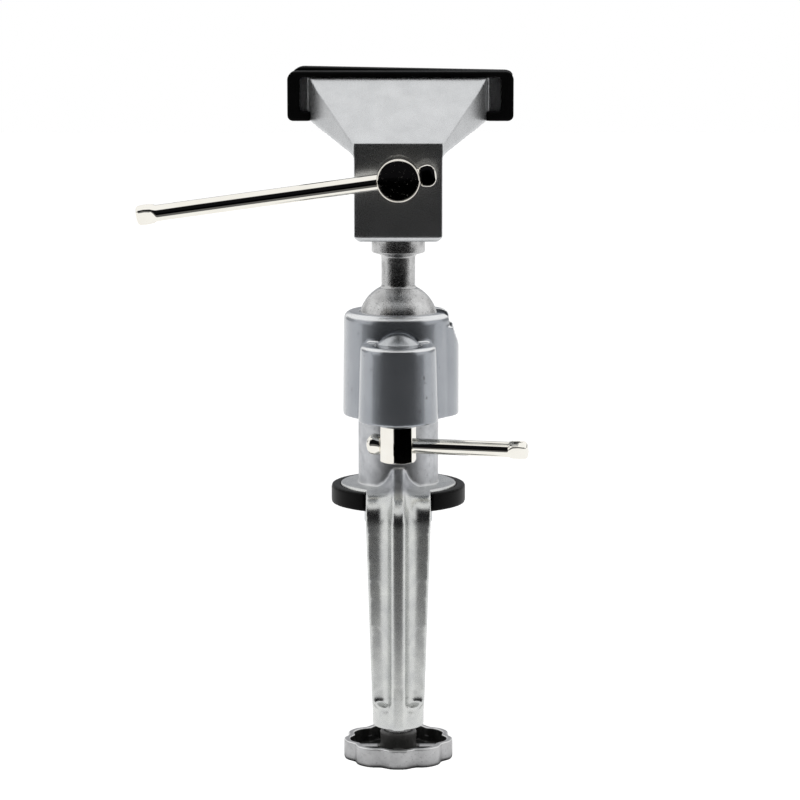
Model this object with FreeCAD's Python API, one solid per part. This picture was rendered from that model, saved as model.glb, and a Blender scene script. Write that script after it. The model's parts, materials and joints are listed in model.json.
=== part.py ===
import FreeCAD, Part
import math
import os

from FreeCAD import Placement, Rotation, Vector

# Clamp-on ball-joint vise for holding circuit boards.  Millimetres, +Z up.
# Origin: centre of the underside of the rubber table pad, on the axis of the post and the clamp screw.
# The throat of the clamp opens towards +Y, the spine and both T-bars face -Y.

X = Vector(1, 0, 0)
Y = Vector(0, 1, 0)
Z = Vector(0, 0, 1)

# Fits
SLIDING_GAP = 0.05  # radial gap of a shaft in its bore
SHIM_GAP = 0.1  # between flat faces of bodies that move on each other

# Table pad and flange
PAD_RING_R = 24.0
PAD_RING_TOP = 6.4
PAD_FLOOR = 1.6
FLANGE_R = 20.7
FLANGE_TOP = 7.1

# Post that carries the ball socket
POST_R = 14.3
POST_TOP = 47.0
GROOVE_Z = 40.0
GROOVE_WIDTH = 3.0
GROOVE_DEPTH = 1.2

# Spine of the clamp frame: a flat at each side, hollow flanks and a rib in the middle.
# Its section turns round the line Y = BEND_Y, Z = BEND_Z into the flange and runs up to the post.
# Heights are (flat, top of flank, top of rib), measured from that line.
BEND_Y = -23.4
BEND_Z = -2.0
BEND_INNER_R = 3.6
SPINE_TOP_HALF = 11.4
SPINE_BOTTOM_HALF = 9.3
FLAT_WIDTH = 3.9
FLANK_HOLLOW = 0.12  # of the flank's rise
RIB_HALF = 1.8
RIB_FOOT_HALF = 2.6
SPINE_TOP_HEIGHTS = (8.2, 13.8, 15.2)
SPINE_BOTTOM_HEIGHTS = (6.6, 13.8, 15.2)
BEND_HEIGHTS = (
    (22.5, (8.4, 12.7, 14.1)),
    (45.0, (8.7, 11.2, 12.6)),
    (67.5, (8.95, 10.4, 11.7)),
    (90.0, (9.1, 10.3, 11.6)),
)
GUSSET_HEIGHTS = (
    (-18.6, (9.1, 11.5, 13.0)),
    (-12.6, (9.1, 17.2, 18.4)),
)
THROAT_FILLET = 6.0

# Lower arm and clamp screw
ARM_R = 9.0
ARM_TOP_Z = -66.4
ARM_BOTTOM_Z = -75.2
ARM_NOSE_Y = -28.2
ARM_NOSE_SLOPE = 12.0
SPINE_ROOT = 3.0  # how far the spine reaches down into the nose of the arm
RIB_FOOT = ((1.8, 15.2), (2.6, 13.8), (4.4, 11.0))  # (half width, height) on the nose
CLAMP_SCREW_R = 5.0
CLAMP_TIP_R = 3.0
SWIVEL_PAD_R = 12.2
SWIVEL_PAD_TOP = -2.4
SWIVEL_PAD_BOTTOM = -7.9
SWIVEL_RECESS_R = 6.0
SWIVEL_RECESS_DEPTH = 2.0
CLIP_THICKNESS = 0.9

# Hand wheel
WHEEL_R = 19.8
WHEEL_LOBES = 9
LOBE_DEPTH = 1.5
WHEEL_BOTTOM = -94.7
WHEEL_RIM_TOP = -87.6
WHEEL_WALL = 2.2
WHEEL_FLOOR = 1.4
HUB_R = 6.6
HUB_TOP = -84.9
SPOKES = 4
SPOKE_WIDTH = 3.6
SPOKE_HEIGHT = 2.6
WHEEL_PIN_R = 1.25
WHEEL_PIN_Z = -88.4

# Ball joint
BALL_Z = 64.7
BALL_R = 14.2
SOCKET_GAP = 0.1
NECK_R = 6.0
NECK_FLARE = 0.9
COLLAR_R = 9.5
COLLAR_BOTTOM = 89.6
COLLAR_CHAMFER = 0.9
SPIGOT_R = 4.0
SPIGOT_TOP = 114.0
SEAT_TOP = 56.0

# Socket housing
HOUSING_TOP_R = 19.4
HOUSING_BOTTOM_R = 19.8
HOUSING_BOTTOM = 31.8
HOUSING_TOP = 69.0
HOUSING_RIM_FILLET = 2.8
SLOT_HALF = 6.3
BULGE_R = 12.4
BULGE_X = 21.6
BULGE_SHOULDER_Z = 57.0
BULGE_SHOULDER_TOP = 64.0
SET_SCREW_R = 2.0
SET_SCREW_POINT_R = 1.3
SET_SCREW_SOCKET_AF = 2.0

# Lock: boss, plunger, brake shoe, hex screw and its bar
LOCK_Y = -23.0
LOCK_BOSS_TOP_R = 13.3
LOCK_BOSS_BOTTOM_R = 14.05
LOCK_BOSS_BOTTOM = 32.7
LOCK_BOSS_TOP = 59.8
LOCK_BOSS_FILLET = 1.6
PLUNGER_R = 7.4
PLUNGER_RIM = 60.2
PLUNGER_DOME_TOP = 63.4
PLUNGER_WAIST_R = 5.4
PLUNGER_TAPER_TOP = 57.4
PLUNGER_TAPER_BOTTOM = 51.4
PLUNGER_BOTTOM = 43.0
PLUNGER_BORE_BOTTOM = 41.0
PLUNGER_THREAD_TOP = 54.0
SHOE_Z = 55.6
SHOE_R = 3.0
SHOE_GAP = 0.12
LOCK_SCREW_R = 4.0
LOCK_SCREW_TOP = 52.5
HEX_AF = 11.45
HEX_BOTTOM = 18.2
HEX_TOP = 31.1
WASHER_R = 6.7
LOCK_BAR_Z = 24.2
LOCK_BAR_TURN = -13.0
LOCK_BAR_R = 2.7
LOCK_BAR_END = 46.3

# T-bar ends
KNOB_R = 3.9
KNOB_FLAT = 0.1  # gap between the knob's flat and the head it rests on
SWAGE_R = 3.6
SWAGE_LENGTH = 6.5

# Vise head
BLOCK_HALF = 15.0
HEAD_BOTTOM = 98.7
BLOCK_TOP = 132.1
BLOCK_CHAMFER = 1.5
MOVING_FRONT_Y = -51.0
MOVING_FACE_Y = -20.5
FIXED_FACE_Y = -13.3
FIXED_BACK_Y = 14.0
PLATE_HALF = 35.8
PLATE_THICKNESS = 5.0
PLATE_BOTTOM = 140.8
PLATE_TOP = 153.6
WEDGE_HALF = 31.0
WEDGE_LIP = 4.5
WEDGE_ROOT_BOTTOM = 138.2

# Guide beam of the moving jaw, and the tunnel for it in the fixed jaw
BEAM_HALF = 10.0
BEAM_BOTTOM = 108.5
BEAM_TOP = 128.4
BEAM_WALL = 4.0
BEAM_END_Y = 46.0
TUNNEL_GAP = 0.2

# Lead screw, its nut and bar
LEAD_Z = 120.7
LEAD_R = 4.0
LEAD_END_Y = 48.0
LEAD_HEAD_R = 7.3
LEAD_HEAD_FRONT_Y = -66.0
LEAD_HEAD_BACK_Y = -52.3
LEAD_HEAD_CHAMFER = 0.6
LEAD_BAR_Y = -59.4
LEAD_BAR_TILT = 7.9
LEAD_BAR_R = 2.75
LEAD_BAR_END = 88.6
NUT_HALF_X = 5.8
NUT_HALF_Y = 8.0
NUT_TOP = 125.5
RING_R = 5.4
RING_THICKNESS = 1.2
RING_GROOVE_DEPTH = 0.8

# Rubber jaw covers
COVER_LEFT = -38.2
COVER_RIGHT = 39.7
COVER_BOTTOM = 138.0
MOVING_COVER_TOP = 155.0
FIXED_COVER_TOP = 156.2
COVER_FACE = 2.3
COVER_LIP = 1.6
LIP_LEFT = -33.9
LIP_RIGHT = 35.4
LIP_OVERLAP = 0.6


# ---------------------------------------------------------------- helpers

def cylinder(radius, z0, z1, x=0.0, y=0.0):
    return Part.makeCylinder(radius, z1 - z0, Vector(x, y, z0), Z)


def cylinder_y(radius, y0, y1, x=0.0, z=0.0):
    return Part.makeCylinder(radius, y1 - y0, Vector(x, y0, z), Y)


def cone(r0, r1, z0, z1, x=0.0, y=0.0):
    return Part.makeCone(r0, r1, z1 - z0, Vector(x, y, z0), Z)


def box(x0, x1, y0, y1, z0, z1):
    return Part.makeBox(x1 - x0, y1 - y0, z1 - z0, Vector(x0, y0, z0))


def ball(radius):
    return Part.makeSphere(radius, Vector(0, 0, BALL_Z))


def line(a, b):
    return Part.LineSegment(a, b).toShape()


def arc(a, through, b):
    return Part.Arc(a, through, b).toShape()


def prism_x(wire, half):
    """Face in the YZ plane, swept to both sides of the middle plane."""
    face = Part.Face(wire)
    face.translate(Vector(-half, 0, 0))
    return face.extrude(Vector(2 * half, 0, 0))


def yz_polygon(points):
    return Part.makePolygon([Vector(0, y, z) for y, z in points + points[:1]])


def revolve(profile):
    """Closed half profile of (radius, z) points, turned round the Z axis."""
    wire = Part.makePolygon([Vector(r, 0, z) for r, z in profile + profile[:1]])
    return Part.Face(wire).revolve(Vector(0, 0, 0), Z, 360)


def quarter_point(centre_y, centre_z, radius, degrees):
    a = math.radians(degrees)
    return Vector(0, centre_y + radius * math.cos(a), centre_z + radius * math.sin(a))


def fuse(first, *others):
    return first.multiFuse(list(others)).removeSplitter()


def edges_where(solid, test):
    return [edge for edge in solid.Edges if test(edge)]


def circle_edges(solid, radius, z, tolerance=0.01):
    """Round edges of one radius at one height."""
    def wanted(edge):
        if not isinstance(edge.Curve, Part.Circle):
            return False
        return abs(edge.Curve.Radius - radius) < tolerance and abs(edge.Curve.Center.z - z) < tolerance
    return edges_where(solid, wanted)


def bar_frame(solid, turn_axis, degrees, place):
    """A bar is drawn along +X about the origin, then turned and put in its place."""
    solid.Placement = Placement(place, Rotation(turn_axis, degrees))
    return solid


# ---------------------------------------------------------------- clamp frame

def rib_section(place, half, heights):
    """Section of arm and rib; place(x, height) gives each point its position in space."""
    flat, flank_top, rib_top = heights
    inner = half - FLAT_WIDTH
    hollow = FLANK_HOLLOW * (flank_top - flat)
    sag_x = (inner + RIB_FOOT_HALF) / 2 - hollow
    sag = (flat + flank_top) / 2 - hollow
    back = BEND_INNER_R
    return Part.Wire([
        line(place(-half, back), place(half, back)),
        line(place(half, back), place(half, flat)),
        line(place(half, flat), place(inner, flat)),
        arc(place(inner, flat), place(sag_x, sag), place(RIB_FOOT_HALF, flank_top)),
        line(place(RIB_FOOT_HALF, flank_top), place(RIB_HALF, rib_top)),
        line(place(RIB_HALF, rib_top), place(-RIB_HALF, rib_top)),
        line(place(-RIB_HALF, rib_top), place(-RIB_FOOT_HALF, flank_top)),
        arc(place(-RIB_FOOT_HALF, flank_top), place(-sag_x, sag), place(-inner, flat)),
        line(place(-inner, flat), place(-half, flat)),
        line(place(-half, flat), place(-half, back)),
    ])


def level_section(z, half, heights):
    """Section of the spine in a level plane."""
    return rib_section(lambda x, h: Vector(x, BEND_Y - h, z), half, heights)


def turned_section(degrees, heights):
    """Section of the bend in a plane through the bend's line."""
    c = math.cos(math.radians(degrees))
    s = math.sin(math.radians(degrees))
    return rib_section(
        lambda x, h: Vector(x, BEND_Y - h * c, BEND_Z + h * s), SPINE_TOP_HALF, heights
    )


def upright_section(y, heights):
    """Section of the gusset in an upright plane."""
    return rib_section(lambda x, h: Vector(x, y, BEND_Z + h), SPINE_TOP_HALF, heights)


def spine():
    return Part.makeLoft([
        level_section(BEND_Z, SPINE_TOP_HALF, SPINE_TOP_HEIGHTS),
        level_section(ARM_TOP_Z, SPINE_BOTTOM_HALF, SPINE_BOTTOM_HEIGHTS),
    ], True, True)


def spine_root():
    return Part.makeLoft([
        level_section(ARM_TOP_Z, SPINE_BOTTOM_HALF, SPINE_BOTTOM_HEIGHTS),
        level_section(ARM_TOP_Z - SPINE_ROOT, SPINE_BOTTOM_HALF - 0.2, SPINE_BOTTOM_HEIGHTS),
    ], True, True)


def bend():
    sections = [turned_section(0, SPINE_TOP_HEIGHTS)]
    for degrees, heights in BEND_HEIGHTS:
        sections.append(turned_section(degrees, heights))
    return Part.makeLoft(sections, True, False)


def gusset():
    sections = [upright_section(BEND_Y, BEND_HEIGHTS[-1][1])]
    for y, heights in GUSSET_HEIGHTS:
        sections.append(upright_section(y, heights))
    return Part.makeLoft(sections, True, False)


def rib_foot():
    """Lower end of the rib, down the nose of the lower arm."""
    right = [(x, BEND_Y - height) for x, height in RIB_FOOT]
    left = [(-x, y) for x, y in reversed(right)]
    points = [Vector(x, y, ARM_BOTTOM_Z) for x, y in right + left + right[:1]]
    foot = Part.Face(Part.makePolygon(points))
    return foot.extrude(Vector(0, 0, ARM_TOP_Z - ARM_BOTTOM_Z))


def lower_arm():
    arm = fuse(
        box(-ARM_R, ARM_R, ARM_NOSE_Y, 0, ARM_BOTTOM_Z, ARM_TOP_Z),
        cylinder(ARM_R, ARM_BOTTOM_Z, ARM_TOP_Z, 0, ARM_NOSE_Y),
        cylinder(ARM_R, ARM_BOTTOM_Z, ARM_TOP_Z),
    )
    shave = box(-2 * ARM_R, 2 * ARM_R, -3 * ARM_R, 0, 0, ARM_R)
    shave.Placement = Placement(
        Vector(0, ARM_NOSE_Y, ARM_TOP_Z), Rotation(X, ARM_NOSE_SLOPE)
    )
    return arm.cut(shave)


def throat_fillet():
    """Concave corner between the spine and the lower arm."""
    y0 = BEND_Y - BEND_INNER_R
    z0 = ARM_TOP_Z
    r = THROAT_FILLET
    wire = Part.Wire([
        line(Vector(0, y0 - 1, z0 - 1), Vector(0, y0 - 1, z0 + r)),
        line(Vector(0, y0 - 1, z0 + r), Vector(0, y0, z0 + r)),
        arc(Vector(0, y0, z0 + r), quarter_point(y0 + r, z0 + r, r, 225), Vector(0, y0 + r, z0)),
        line(Vector(0, y0 + r, z0), Vector(0, y0 + r, z0 - 1)),
        line(Vector(0, y0 + r, z0 - 1), Vector(0, y0 - 1, z0 - 1)),
    ])
    return prism_x(wire, ARM_R - 1)


def post():
    stem = cylinder(POST_R, FLANGE_TOP - 1, POST_TOP)
    half = GROOVE_WIDTH / 2
    groove = cylinder(POST_R + 1, GROOVE_Z - half, GROOVE_Z + half).cut(
        cylinder(POST_R - GROOVE_DEPTH, GROOVE_Z - half, GROOVE_Z + half)
    )
    return stem.cut(groove)


def clamp_frame():
    flange = cylinder(FLANGE_R, PAD_FLOOR, FLANGE_TOP)
    casting = fuse(
        flange, post(), gusset(), bend(), spine(), spine_root(), rib_foot(), lower_arm(), throat_fillet()
    )
    screw_hole = cylinder(CLAMP_SCREW_R + SLIDING_GAP, ARM_BOTTOM_Z - 1, ARM_TOP_Z + 1)
    return casting.cut(screw_hole)


def table_pad():
    """Rubber cup under the flange, notched where the spine leaves it."""
    cup = cylinder(PAD_RING_R, 0, PAD_RING_TOP)
    pocket = cylinder(FLANGE_R, PAD_FLOOR, PAD_RING_TOP + 1)
    notch_half = SPINE_TOP_HALF + 0.3
    notch = box(-notch_half, notch_half, -PAD_RING_R - 2, -POST_R, PAD_FLOOR, PAD_RING_TOP + 1)
    return cup.cut(pocket).cut(notch)


# ---------------------------------------------------------------- clamp screw

def clamp_pad():
    pad = cylinder(SWIVEL_PAD_R, SWIVEL_PAD_BOTTOM, SWIVEL_PAD_TOP)
    rim = circle_edges(pad, SWIVEL_PAD_R, SWIVEL_PAD_BOTTOM)
    pad = pad.makeFillet(1.2, rim)
    bore = cylinder(CLAMP_TIP_R + SLIDING_GAP, SWIVEL_PAD_BOTTOM - 1, SWIVEL_PAD_TOP + 1)
    recess_floor = SWIVEL_PAD_TOP - SWIVEL_RECESS_DEPTH
    recess = cylinder(SWIVEL_RECESS_R, recess_floor, SWIVEL_PAD_TOP + 1)
    return pad.cut(bore).cut(recess)


def clip_span():
    bottom = SWIVEL_PAD_TOP - SWIVEL_RECESS_DEPTH + SHIM_GAP
    return bottom, bottom + CLIP_THICKNESS


def clamp_screw():
    shank = cylinder(CLAMP_SCREW_R, WHEEL_BOTTOM + 1.5, SWIVEL_PAD_BOTTOM - SHIM_GAP)
    tip = cylinder(CLAMP_TIP_R, SWIVEL_PAD_BOTTOM - 1, SWIVEL_PAD_TOP - 0.4)
    bottom, top = clip_span()
    groove = cylinder(CLAMP_TIP_R + 1, bottom, top).cut(cylinder(CLAMP_TIP_R - 0.6, bottom, top))
    return fuse(shank, tip).cut(groove).cut(wheel_pin())


def pad_clip():
    """Open retaining clip that keeps the swivel pad on the screw's tip."""
    bottom, top = clip_span()
    ring = cylinder(CLAMP_TIP_R + 1.8, bottom, top).cut(cylinder(CLAMP_TIP_R - 0.6, bottom, top))
    mouth = box(-1.4, 1.4, 0, 2 * CLAMP_TIP_R, bottom - 1, top + 1)
    return ring.cut(mouth)


def wheel_pin():
    return Part.makeCylinder(WHEEL_PIN_R, 2 * HUB_R - 0.6, Vector(-HUB_R + 0.3, 0, WHEEL_PIN_Z), X)


def lobed_prism(radius, z0, z1):
    """Prism with the wheel's lobed outline: broad lobes and narrower dips, one lobe facing -Y."""
    steps = 8 * WHEEL_LOBES
    points = []
    for i in range(steps):
        angle = 2 * math.pi * i / steps
        dip = ((1 - math.cos(WHEEL_LOBES * angle)) / 2) ** 2
        r = radius - LOBE_DEPTH * dip
        points.append(Vector(r * math.sin(angle), -r * math.cos(angle), z0))
    curve = Part.BSplineCurve()
    curve.interpolate(Points=points, PeriodicFlag=True)
    return Part.Face(Part.Wire([curve.toShape()])).extrude(Vector(0, 0, z1 - z0))


def hand_wheel():
    rim = lobed_prism(WHEEL_R, WHEEL_BOTTOM, WHEEL_RIM_TOP)
    dish = lobed_prism(WHEEL_R - WHEEL_WALL, WHEEL_BOTTOM + WHEEL_FLOOR, WHEEL_RIM_TOP + 1)
    wheel = fuse(rim.cut(dish), cylinder(HUB_R, WHEEL_BOTTOM + 0.5, HUB_TOP))
    reach = WHEEL_R - WHEEL_WALL - LOBE_DEPTH + 0.5
    for i in range(SPOKES):
        spoke = box(
            0, reach, -SPOKE_WIDTH / 2, SPOKE_WIDTH / 2,
            WHEEL_BOTTOM + WHEEL_FLOOR - 0.2, WHEEL_BOTTOM + WHEEL_FLOOR + SPOKE_HEIGHT,
        )
        spoke.rotate(Vector(0, 0, 0), Z, 360 / SPOKES * i)
        wheel = fuse(wheel, spoke)
    bore = cylinder(CLAMP_SCREW_R, WHEEL_BOTTOM + 1.5, HUB_TOP + 1)
    return wheel.cut(bore).cut(wheel_pin())


# ---------------------------------------------------------------- ball socket

def housing_shell():
    barrel = cone(HOUSING_BOTTOM_R, HOUSING_TOP_R, HOUSING_BOTTOM, HOUSING_TOP)
    bulge = cylinder(BULGE_R, HOUSING_BOTTOM, BULGE_SHOULDER_TOP, BULGE_X - BULGE_R)
    slope = Part.makePolygon([
        Vector(BULGE_X, -20, BULGE_SHOULDER_Z),
        Vector(BULGE_X + 5, -20, BULGE_SHOULDER_Z),
        Vector(BULGE_X + 5, -20, BULGE_SHOULDER_TOP + 1),
        Vector(HOUSING_TOP_R - 0.3, -20, BULGE_SHOULDER_TOP + 1),
        Vector(BULGE_X, -20, BULGE_SHOULDER_Z),
    ])
    bulge = bulge.cut(Part.Face(slope).extrude(Vector(0, 40, 0)))
    boss = cone(LOCK_BOSS_BOTTOM_R, LOCK_BOSS_TOP_R, LOCK_BOSS_BOTTOM, LOCK_BOSS_TOP, 0, LOCK_Y)
    boss_rim = circle_edges(boss, LOCK_BOSS_TOP_R, LOCK_BOSS_TOP)
    boss = boss.makeFillet(LOCK_BOSS_FILLET, boss_rim)
    rim = circle_edges(barrel, HOUSING_TOP_R, HOUSING_TOP)
    barrel = barrel.makeFillet(HOUSING_RIM_FILLET, rim)
    return fuse(barrel, bulge, boss)


def stem_slot():
    """Side slot that lets the stem lie down flat towards +X."""
    half = SLOT_HALF
    top = HOUSING_TOP + 2
    wire = Part.Wire([
        arc(Vector(0, -half, BALL_Z), Vector(0, 0, BALL_Z - half), Vector(0, half, BALL_Z)),
        line(Vector(0, half, BALL_Z), Vector(0, half, top)),
        line(Vector(0, half, top), Vector(0, -half, top)),
        line(Vector(0, -half, top), Vector(0, -half, BALL_Z)),
    ])
    return Part.Face(wire).extrude(Vector(BULGE_X + 4, 0, 0))


def socket_housing():
    shell = housing_shell()
    shell = shell.cut(cylinder(POST_R + SLIDING_GAP, HOUSING_BOTTOM - 1, SEAT_TOP))
    shell = shell.cut(cylinder(BALL_R + SOCKET_GAP, SEAT_TOP - 1, BALL_Z))
    shell = shell.cut(ball(BALL_R + SOCKET_GAP))
    shell = shell.cut(stem_slot())
    shell = shell.cut(cylinder(PLUNGER_R + SHIM_GAP, PLUNGER_BORE_BOTTOM, PLUNGER_RIM, 0, LOCK_Y))
    shell = shell.cut(plunger_dome(2 * SHIM_GAP))
    shell = shell.cut(cylinder(LOCK_SCREW_R + 0.3, LOCK_BOSS_BOTTOM - 2, PLUNGER_BORE_BOTTOM + 1, 0, LOCK_Y))
    shell = shell.cut(cylinder(WASHER_R + 0.3, HOUSING_BOTTOM - 1, LOCK_BOSS_BOTTOM, 0, LOCK_Y))
    shell = shell.cut(cylinder_y(SHOE_R + SLIDING_GAP, LOCK_Y, -BALL_R / 2, 0, SHOE_Z))
    return shell.cut(cylinder_y(SET_SCREW_R, POST_R - 1, HOUSING_BOTTOM_R + 2, 0, GROOVE_Z))


def ball_seat():
    """Bearing cup between the top of the post and the ball."""
    cup = cylinder(POST_R - SLIDING_GAP, POST_TOP + SHIM_GAP, SEAT_TOP)
    shoe_window = box(-SHOE_R - 0.4, SHOE_R + 0.4, -POST_R, -6, SHOE_Z - SHOE_R - 0.4, SEAT_TOP + 1)
    return cup.cut(ball(BALL_R + SOCKET_GAP)).cut(shoe_window)


def hexagon(across_flats, z0, z1, x=0.0, y=0.0, degrees=0.0):
    """Upright hexagonal prism with a flat facing the given direction."""
    corner = across_flats / math.sqrt(3)
    points = []
    for i in range(7):
        a = math.radians(degrees + 30 + 60 * i)
        points.append(Vector(x + corner * math.cos(a), y + corner * math.sin(a), z0))
    return Part.Face(Part.makePolygon(points)).extrude(Vector(0, 0, z1 - z0))


def housing_set_screw():
    """Dog-point grub screw at the back; its point runs in the groove of the post."""
    grub = Part.makeCylinder(SET_SCREW_R, HOUSING_BOTTOM_R - POST_R - 1.4, Vector(0, 0, 0), Z)
    point = Part.makeCylinder(SET_SCREW_POINT_R, 1.2, Vector(0, 0, -1.2), Z)
    depth = HOUSING_BOTTOM_R - POST_R - 1.4
    socket = hexagon(SET_SCREW_SOCKET_AF, depth - 1.6, depth + 1)
    screw = fuse(grub, point).cut(socket)
    screw.Placement = Placement(Vector(0, POST_R + 0.5, GROOVE_Z), Rotation(X, -90))
    return screw


def ball_stem():
    root = BALL_Z + math.sqrt(BALL_R**2 - NECK_R**2) - 0.5
    sphere = ball(BALL_R)
    neck = cylinder(NECK_R, root - 1, HEAD_BOTTOM - 1)
    flare_top = root + NECK_FLARE
    flare = cone(NECK_R + NECK_FLARE, NECK_R, root - 0.4, flare_top)
    collar_top = HEAD_BOTTOM - SLIDING_GAP
    collar = revolve([
        (0, COLLAR_BOTTOM - 1.2),
        (NECK_R, COLLAR_BOTTOM - 1.2),
        (NECK_R + 1.2, COLLAR_BOTTOM),
        (COLLAR_R - COLLAR_CHAMFER, COLLAR_BOTTOM),
        (COLLAR_R, COLLAR_BOTTOM + COLLAR_CHAMFER),
        (COLLAR_R, collar_top),
        (0, collar_top),
    ])
    spigot = cylinder(SPIGOT_R, collar_top - 1, SPIGOT_TOP)
    return fuse(sphere, neck, flare, collar, spigot)


# ---------------------------------------------------------------- ball lock

def plunger_cone(grow=0.0):
    return cone(
        PLUNGER_WAIST_R + grow, PLUNGER_R + grow, PLUNGER_TAPER_BOTTOM, PLUNGER_TAPER_TOP, 0, LOCK_Y
    )


def plunger_dome(grow=0.0):
    """Rounded top of the plunger; grown a little, it is the hollow it needs in the barrel."""
    height = PLUNGER_DOME_TOP - PLUNGER_RIM
    radius = (PLUNGER_R**2 + height**2) / (2 * height)
    sphere = Part.makeSphere(radius + grow, Vector(0, LOCK_Y, PLUNGER_DOME_TOP - radius))
    return sphere.common(
        cylinder(PLUNGER_R + grow, PLUNGER_RIM - 1, PLUNGER_DOME_TOP + 1, 0, LOCK_Y)
    )


def lock_plunger():
    """Domed plunger; the taper under its head wedges the brake shoe when it is drawn down."""
    head = cylinder(PLUNGER_R, PLUNGER_TAPER_TOP, PLUNGER_RIM, 0, LOCK_Y)
    waist = cylinder(PLUNGER_WAIST_R, PLUNGER_BOTTOM, PLUNGER_TAPER_BOTTOM, 0, LOCK_Y)
    plunger = fuse(plunger_dome(), head, plunger_cone(), waist)
    thread = cylinder(LOCK_SCREW_R + SLIDING_GAP, PLUNGER_BOTTOM - 1, PLUNGER_THREAD_TOP, 0, LOCK_Y)
    return plunger.cut(thread)


def brake_shoe():
    slug = cylinder_y(SHOE_R, -POST_R - 4, -BALL_R / 2 - 1, 0, SHOE_Z)
    slug = slug.cut(ball(BALL_R + SHOE_GAP))
    slug = slug.cut(plunger_cone(SHOE_GAP / 2))
    slug = slug.cut(cylinder(PLUNGER_R + SHOE_GAP, PLUNGER_TAPER_TOP - 0.1, PLUNGER_RIM, 0, LOCK_Y))
    return max(slug.Solids, key=lambda solid: solid.Volume)


def lock_screw():
    hexed = hexagon(HEX_AF, HEX_BOTTOM, HEX_TOP, 0, LOCK_Y, LOCK_BAR_TURN)
    corner = HEX_AF / math.sqrt(3)
    chamfer_r = corner + 0.1
    crown = cone(chamfer_r - 1.2, chamfer_r, HEX_BOTTOM, HEX_BOTTOM + 0.7, 0, LOCK_Y)
    crown = crown.fuse(cylinder(chamfer_r, HEX_BOTTOM + 0.7, HEX_TOP + 1, 0, LOCK_Y))
    head = hexed.common(crown)
    shank = cylinder(LOCK_SCREW_R, HEX_TOP - 1, LOCK_SCREW_TOP, 0, LOCK_Y)
    bore = Part.makeCylinder(LOCK_BAR_R + SLIDING_GAP, 2 * HEX_AF, Vector(-HEX_AF, 0, 0), X)
    bar_frame(bore, Z, LOCK_BAR_TURN, Vector(0, LOCK_Y, LOCK_BAR_Z))
    return fuse(head, shank).cut(bore)


def lock_washer():
    bottom = HEX_TOP
    top = LOCK_BOSS_BOTTOM - SHIM_GAP
    inner = cylinder(LOCK_SCREW_R, bottom, top, 0, LOCK_Y)
    return cylinder(WASHER_R, bottom, top, 0, LOCK_Y).cut(inner)


def t_bar(radius, head_half, knob_centre, end):
    """Sliding bar along X: flat-sided knob at +X against the head, swaged end at -X."""
    rod = Part.makeCylinder(radius, end + knob_centre, Vector(-end, 0, 0), X)
    flat = head_half + KNOB_FLAT
    knob = Part.makeSphere(KNOB_R, Vector(knob_centre, 0, 0)).common(
        box(flat, knob_centre + KNOB_R + 1, -KNOB_R - 1, KNOB_R + 1, -KNOB_R - 1, KNOB_R + 1)
    )
    neck = Part.makeCone(SWAGE_R, radius, 0.8, Vector(SWAGE_LENGTH - end, 0, 0), X)
    swage = Part.makeCylinder(SWAGE_R, SWAGE_LENGTH, Vector(-end, 0, 0), X)
    tip = circle_edges_x(swage, -end)
    swage = swage.makeFillet(1.0, tip)
    return fuse(rod, knob, neck, swage)


def circle_edges_x(solid, x, tolerance=0.01):
    """Round edges that lie in one plane across the X axis."""
    def wanted(edge):
        return isinstance(edge.Curve, Part.Circle) and abs(edge.Curve.Center.x - x) < tolerance
    return edges_where(solid, wanted)


def lock_bar():
    bar = t_bar(LOCK_BAR_R, HEX_AF / 2, HEX_AF / 2 + 3.0, LOCK_BAR_END)
    return bar_frame(bar, Z, 180 + LOCK_BAR_TURN, Vector(0, LOCK_Y, LOCK_BAR_Z))


# ---------------------------------------------------------------- vise head

def jaw_web(front_y, face_y):
    """Middle of a jaw casting: block and the sloping web that carries the plate."""
    inward = 1 if face_y > front_y else -1
    plate_y = face_y - inward * PLATE_THICKNESS
    outline = yz_polygon([
        (front_y, HEAD_BOTTOM + BLOCK_CHAMFER),
        (front_y + inward * BLOCK_CHAMFER, HEAD_BOTTOM),
        (face_y, HEAD_BOTTOM),
        (face_y, PLATE_TOP),
        (plate_y, PLATE_TOP),
        (front_y, BLOCK_TOP),
    ])
    return prism_x(outline, BLOCK_HALF)


def jaw_wedge(front_y, face_y):
    """Flared top: narrow at the block's top edge, wide at the jaw plate."""
    inward = 1 if face_y > front_y else -1
    plate_y = face_y - inward * PLATE_THICKNESS
    sections = []
    for y, half, z0, z1 in (
        (front_y, BLOCK_HALF, BLOCK_TOP - WEDGE_LIP, BLOCK_TOP),
        (plate_y, WEDGE_HALF, WEDGE_ROOT_BOTTOM, PLATE_TOP),
    ):
        corners = [(-half, z0), (half, z0), (half, z1), (-half, z1), (-half, z0)]
        sections.append(Part.makePolygon([Vector(x, y, z) for x, z in corners]))
    return Part.makeLoft(sections, True, True)


def jaw_plate(face_y, side):
    y0 = face_y
    y1 = face_y + side * PLATE_THICKNESS
    return box(-PLATE_HALF, PLATE_HALF, min(y0, y1), max(y0, y1), PLATE_BOTTOM, PLATE_TOP)


def side_chamfers(front_y, face_y):
    """Wedges that bevel the long bottom edges of a block."""
    y0 = min(front_y, face_y) - 1
    length = abs(face_y - front_y) + 2
    cuts = []
    for side in (-1, 1):
        edge = side * BLOCK_HALF
        corner = Part.makePolygon([
            Vector(edge - side * BLOCK_CHAMFER, y0, HEAD_BOTTOM - 0.01),
            Vector(edge + side, y0, HEAD_BOTTOM - 0.01),
            Vector(edge + side, y0, HEAD_BOTTOM + BLOCK_CHAMFER + 1),
            Vector(edge, y0, HEAD_BOTTOM + BLOCK_CHAMFER),
            Vector(edge - side * BLOCK_CHAMFER, y0, HEAD_BOTTOM - 0.01),
        ])
        cuts.append(Part.Face(corner).extrude(Vector(0, length, 0)))
    return cuts


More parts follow.
